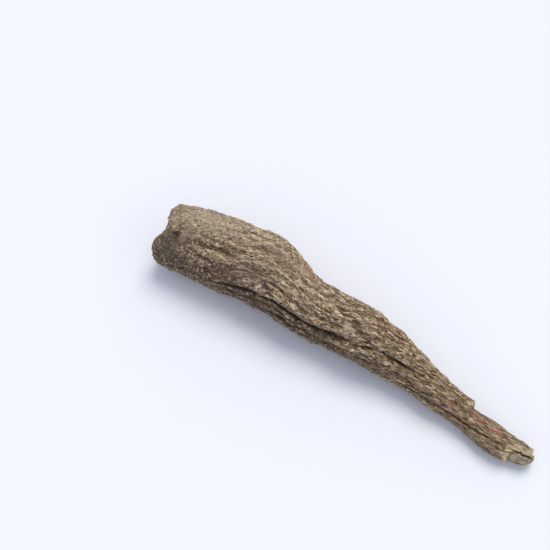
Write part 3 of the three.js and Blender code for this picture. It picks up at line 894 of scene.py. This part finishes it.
def makeBark():  # cork bark dried in air: dull and rough, pale on its strands, dark brown in the folds, with painted shade in them
    material, tree = newMaterial("dried_root_bark")
    place = addNode(tree, "TexCoord", "Object")
    grain = addNode(tree, "Attribute", "Vector", attribute_name="net_place")
    fields = [each.name for each in skin.data.attributes if each.data_type == "FLOAT"]
    known = {name: addNode(tree, "Attribute", "Fac", attribute_name=name) for name in fields}
    moved = addNode(tree, "TexNoise", "Color", {"Vector": grain, **grainStray})
    moved = addNode(tree, "VectorMath", 0, {0: moved, 1: grainReach}, operation="MULTIPLY")
    grain = addNode(tree, "VectorMath", 0, {0: grain, 1: moved}, operation="ADD")
    for name, (stretch, values) in grainPatterns.items():
        stretched = addNode(tree, "VectorMath", 0, {0: grain, 1: stretch}, operation="MULTIPLY")
        known[name] = addNode(tree, "TexNoise", "Fac", {"Vector": stretched, **values})
    for name, values in placePatterns.items():
        known[name] = addNode(tree, "TexNoise", "Fac", {"Vector": place, **values})
    eyes = addNode(tree, "VectorMath", 0, {0: grain, 1: netEyes}, operation="MULTIPLY")
    known["eyes"] = addNode(tree, "TexVoronoi", "Distance", {"Vector": eyes, "Scale": 1.0})
    spread = {"crown": known["crown"]}
    for name, (low, high, least, most) in spreads.items():
        spread[name] = addNode(tree, "MapRange", 0, {
            "Value": known[name], "From Min": low, "From Max": high, "To Min": least, "To Max": most},
            interpolation_type="SMOOTHSTEP" if name == "eyes" else "LINEAR")

    # How light the bark is: base + sum of amount x field + sum of amount x (line - 1/2) x where it shows
    lines = {"grit": known["grit"], "eyes": spread["eyes"]}
    for name in ("streaks", "hairs", "curls"):
        lines[name] = addNode(tree, "ValToRGB", "Color", {"Fac": known[name]}, stops=lineStops)
    level = barkLevel["base"]
    for name, amount in barkLevel["fields"]:
        level = addNode(tree, "Math", 0, {0: known[name], 1: amount, 2: level}, operation="MULTIPLY_ADD")
    for name, amount, where in barkLevel["lines"]:
        value = addNode(tree, "Math", 0, {0: lines[name], 1: amount, 2: -amount / 2},
                        operation="MULTIPLY_ADD")
        level = addNode(tree, "Math", 0, {0: value, 1: spread[where] if where else 1, 2: level},
                        operation="MULTIPLY_ADD")
    colour = addNode(tree, "ValToRGB", "Color", {"Fac": level}, stops=barkStops)

    # Leaf scars, stains, the tinted places (some of them painted light and shade), and painted shade in the
    # hollows
    scars = addNode(tree, "Mix", 2, {
        0: spread["scars"], 6: barkColours["soil"], 7: barkColours["strand"]}, data_type="RGBA")
    layers = [(known["crown_face"], barkShares["scars"], scars)]
    layers += [(spread[name], 1, barkColours[name]) for name in ("pink", "olive", "plum")]
    layers += [(known["tint_" + name], spread["uneven"], barkColours[name]) for name in tints]
    # painted shade in the hollows
    layers += [(known["hollow"], barkShares["hollow"], barkColours["valley"])]
    for where, share, over in layers:
        amount = addNode(tree, "Math", 0, {0: where, 1: share}, operation="MULTIPLY")
        colour = addNode(tree, "Mix", 2, {0: amount, 6: colour, 7: over}, data_type="RGBA")

    # The broken tail: straw-coloured cortex, and the core's grey wood with its rings and fibres
    wood = addNode(tree, "Mix", 2, {
        0: known["core"], 6: barkColours["straw"], 7: barkColours["coreWood"]}, data_type="RGBA")
    wood = addNode(tree, "Mix", 2, {0: spread["woodStain"], 6: wood, 7: barkColours["pink"]},
                   data_type="RGBA")
    rings = addNode(tree, "Math", 0, {0: known["core_ring"], 1: ringTurns}, operation="MULTIPLY")
    rings = addNode(tree, "Math", 0, {0: rings}, operation="SINE")
    rings = addNode(tree, "Math", 0, {0: rings, 1: spread["core_ring"], 2: spread["wood"]},
                    operation="MULTIPLY_ADD")
    rings = addNode(tree, "CombineColor", 0, {0: rings, 1: rings, 2: rings})
    wood = addNode(tree, "Mix", 2, {0: 1.0, 6: wood, 7: rings}, data_type="RGBA", blend_type="MULTIPLY")
    colour = addNode(tree, "Mix", 2, {0: known["skin"], 6: wood, 7: colour}, data_type="RGBA")
    # painted shade in the cracks, the furrow bottoms and the core's crack
    amount = addNode(tree, "Math", 0, {0: known["creaseShade"], 1: barkShares["creaseShade"]}, operation="MULTIPLY")
    colour = addNode(tree, "Mix", 2, {0: amount, 6: colour, 7: barkColours["creaseShadeBrown"]}, data_type="RGBA")

    height = addNode(tree, "Math", 0, {0: lines["hairs"], 1: barkShares["hairBump"], 2: lines["streaks"]},
                     operation="MULTIPLY_ADD")
    height = addNode(tree, "Math", 0, {0: lines["curls"], 1: known["crown"], 2: height},
                     operation="MULTIPLY_ADD")
    normal = addNode(tree, "Bump", 0, {"Height": height, "Strength": 1.0, "Distance": bumpDepth * metre})
    surface = addNode(tree, "BsdfPrincipled", 0, {
        "Base Color": colour, "Roughness": 0.86, "Specular IOR Level": 0.28, "Normal": normal})
    addNode(tree, "OutputMaterial", None, {"Surface": surface})
    return material


def makeFibre():  # bast fibre dried in air: dull, straw where it has just torn, browner where it weathered
    material, tree = newMaterial("dried_root_fibre")
    place = addNode(tree, "TexCoord", "Object")
    age = addNode(tree, "TexNoise", "Fac", {"Vector": place, **fibres["age"]})
    age = addNode(tree, "MapRange", 0, {"Value": age, "From Min": 0.4, "From Max": 0.6})
    colour = addNode(tree, "Mix", 2, {0: age, 6: barkColours["strand"], 7: barkColours["crest"]},
                     data_type="RGBA")
    surface = addNode(tree, "BsdfPrincipled", 0, {
        "Base Color": colour, "Roughness": 0.8, "Specular IOR Level": 0.3})
    addNode(tree, "OutputMaterial", None, {"Surface": surface})
    return material


skin.data.materials.append(makeBark())
hairs.data.materials.append(makeFibre())
print("materials made")


# Floor, light and camera

studio = {
    "azimuth": 33.2,
    "elevation": 65.0,
    "lens": 85.0,
    "sensor": 36.0,
    "millimetresPerPixel": 0.2745,
    "rootAtPixel": (350.9, 328.5),  # where the root's middle lies in the photo
    "middleHeight": 8.0,
    "floorColour": "#eceef2",
    "floorHalf": 3000,
    "skyColour": (0.79, 0.84, 1.0),
    "skyStrength": 0.74,
    "sunColour": (1.0, 0.955, 0.88),
    "sunStrength": 1.76,
    "sunAngle": 36,
    "sunFrom": (-0.05, 0.46, 0.88),
}


def makeFloor():  # uncoated white card, which scatters all its light and shows no gloss
    half = studio["floorHalf"]
    points = np.array([[-half, -half, 0], [half, -half, 0], [half, half, 0], [-half, half, 0]], float)
    floor = makeObject("floor", points, [np.array([[0, 1, 2, 3]])])
    material, tree = newMaterial("matte_white_card")
    surface = addNode(tree, "BsdfPrincipled", 0, {
        "Base Color": linear(studio["floorColour"]), "Roughness": 0.9, "Specular IOR Level": 0.1})
    addNode(tree, "OutputMaterial", None, {"Surface": surface})
    floor.data.materials.append(material)


def makeLight():  # a bright sky all round, and a wide soft window high on the far side
    world = bpy.data.worlds.new("soft_sky")
    world.use_nodes = True
    background = world.node_tree.nodes["Background"]
    background.inputs["Color"].default_value = (*studio["skyColour"], 1)
    background.inputs["Strength"].default_value = studio["skyStrength"]
    bpy.context.scene.world = world
    sun = bpy.data.lights.new("window", "SUN")
    sun.energy = studio["sunStrength"]
    sun.color = studio["sunColour"]
    sun.angle = math.radians(studio["sunAngle"])
    lamp = bpy.data.objects.new("window", sun)
    toward = np.array(studio["sunFrom"]) / np.linalg.norm(studio["sunFrom"])
    lamp.rotation_mode = "QUATERNION"
    lamp.rotation_quaternion = Vector(toward).to_track_quat("Z", "Y")
    bpy.context.scene.collection.objects.link(lamp)


def makeCamera():  # target + back x distance, where distance = pixel x pixels / sensor x lens
    azimuth, elevation = math.radians(studio["azimuth"]), math.radians(studio["elevation"])
    back = Vector((math.sin(azimuth) * math.cos(elevation), -math.cos(azimuth) * math.cos(elevation),
                   math.sin(elevation)))
    right = Vector((math.cos(azimuth), math.sin(azimuth), 0))
    up = back.cross(right)
    pixel = studio["millimetresPerPixel"] * metre
    distance = pixel * photoSize / studio["sensor"] * studio["lens"]
    across, down = (photoSize / 2 - p for p in studio["rootAtPixel"])
    target = Vector((0, 0, studio["middleHeight"] * metre)) + right * across * pixel - up * down * pixel
    camera = bpy.data.cameras.new("camera")
    camera.lens = studio["lens"]
    camera.sensor_width = studio["sensor"]
    camera.clip_start = 0.01
    made = bpy.data.objects.new("camera", camera)
    turned = Matrix((right, up, back)).transposed().to_4x4()
    made.matrix_world = Matrix.Translation(target + back * distance) @ turned
    bpy.context.scene.collection.objects.link(made)
    bpy.context.scene.camera = made


makeFloor()
makeLight()
makeCamera()
print("studio made")
bpy.context.scene.view_settings.view_transform = "Standard"
